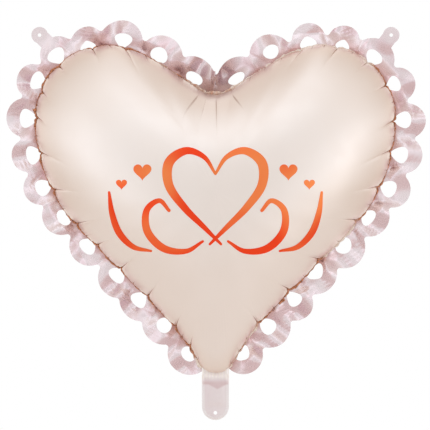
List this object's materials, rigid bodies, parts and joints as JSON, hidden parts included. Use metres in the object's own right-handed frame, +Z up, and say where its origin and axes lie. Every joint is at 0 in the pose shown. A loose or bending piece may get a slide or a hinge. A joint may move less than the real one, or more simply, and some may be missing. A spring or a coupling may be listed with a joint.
{
  "type": "heart-shaped foil balloon",
  "caption": "Inflated heart-shaped foil balloon with a ruffled lace-cut frill, two hanging tabs, a filling tail with a self-sealing valve and a heart scroll print.",
  "frame": {"origin": "centre of the balloon's box, on the seam plane between front and back", "axes": "+X to the right, +Z up towards the lobes, and the printed face looks along -Y"},
  "size_m": [0.605, 0.2024, 0.5843],
  "materials": {
    "pearl_film": "satin pearl laminate on metallised film",
    "seam_film": "crinkled heat-sealed film, warm metallic",
    "lace_film": "pink pearl film, die cut and ruffled",
    "tail_film": "pink pearl film, flat",
    "valve_film": "clear soft film",
    "release_coating": "matt release coating",
    "print_foil": "orange-red metallic print"
  },
  "bodies": {
    "envelope": {"front_film": "pearl_film", "back_film": "pearl_film", "perimeter_weld": "seam_film", "frill_right": "lace_film", "frill_left": "lace_film", "tail_neck": "lace_film", "valve_throat": "valve_film", "valve_coating": "release_coating", "print_heart": "print_foil", "print_swash_right": "print_foil", "print_swash_left": "print_foil", "print_plume_right": "print_foil", "print_plume_left": "print_foil", "print_small_hearts_right": "print_foil", "print_small_hearts_left": "print_foil"},
    "right_tab": {"hang_tab_right": "lace_film"},
    "left_tab": {"hang_tab_left": "lace_film"},
    "tail": {"tail_front_film": "tail_film", "tail_back_film": "tail_film", "tail_edge_weld": "tail_film", "valve_mouth": "valve_film"},
    "valve_front": {"valve_front_flap": "valve_film"},
    "valve_back": {"valve_back_flap": "valve_film"}
  },
  "joints": [
    {"name": "tail_bend", "type": "hinge", "parent": "envelope", "child": "tail", "pos_m": [0, 0, -0.229], "axis": [1, 0, 0], "range_deg": [-90, 90]},
    {"name": "right_tab_bend", "type": "hinge", "parent": "envelope", "child": "right_tab", "pos_m": [0.24782, 0, 0.26107], "axis": [-0.7193, 0, 0.6947], "range_deg": [-80, 80], "stiffness_Nm_per_rad": 0.0002},
    {"name": "left_tab_bend", "type": "hinge", "parent": "envelope", "child": "left_tab", "pos_m": [-0.24782, 0, 0.26107], "axis": [-0.7193, 0, -0.6947], "range_deg": [-80, 80], "stiffness_Nm_per_rad": 0.0002},
    {"name": "valve_front_flap_bend", "type": "hinge", "parent": "envelope", "child": "valve_front", "pos_m": [0, -0.00016, -0.211], "axis": [1, 0, 0], "range_deg": [0, 12], "stiffness_Nm_per_rad": 0.0002},
    {"name": "valve_back_flap_bend", "type": "hinge", "parent": "envelope", "child": "valve_back", "pos_m": [0, 0.00016, -0.211], "axis": [-1, 0, 0], "range_deg": [0, 12], "stiffness_Nm_per_rad": 0.0002}
  ],
  "couplings": [
    {"joint": "valve_back_flap_bend", "follows": "valve_front_flap_bend", "ratio": 1}
  ]
}
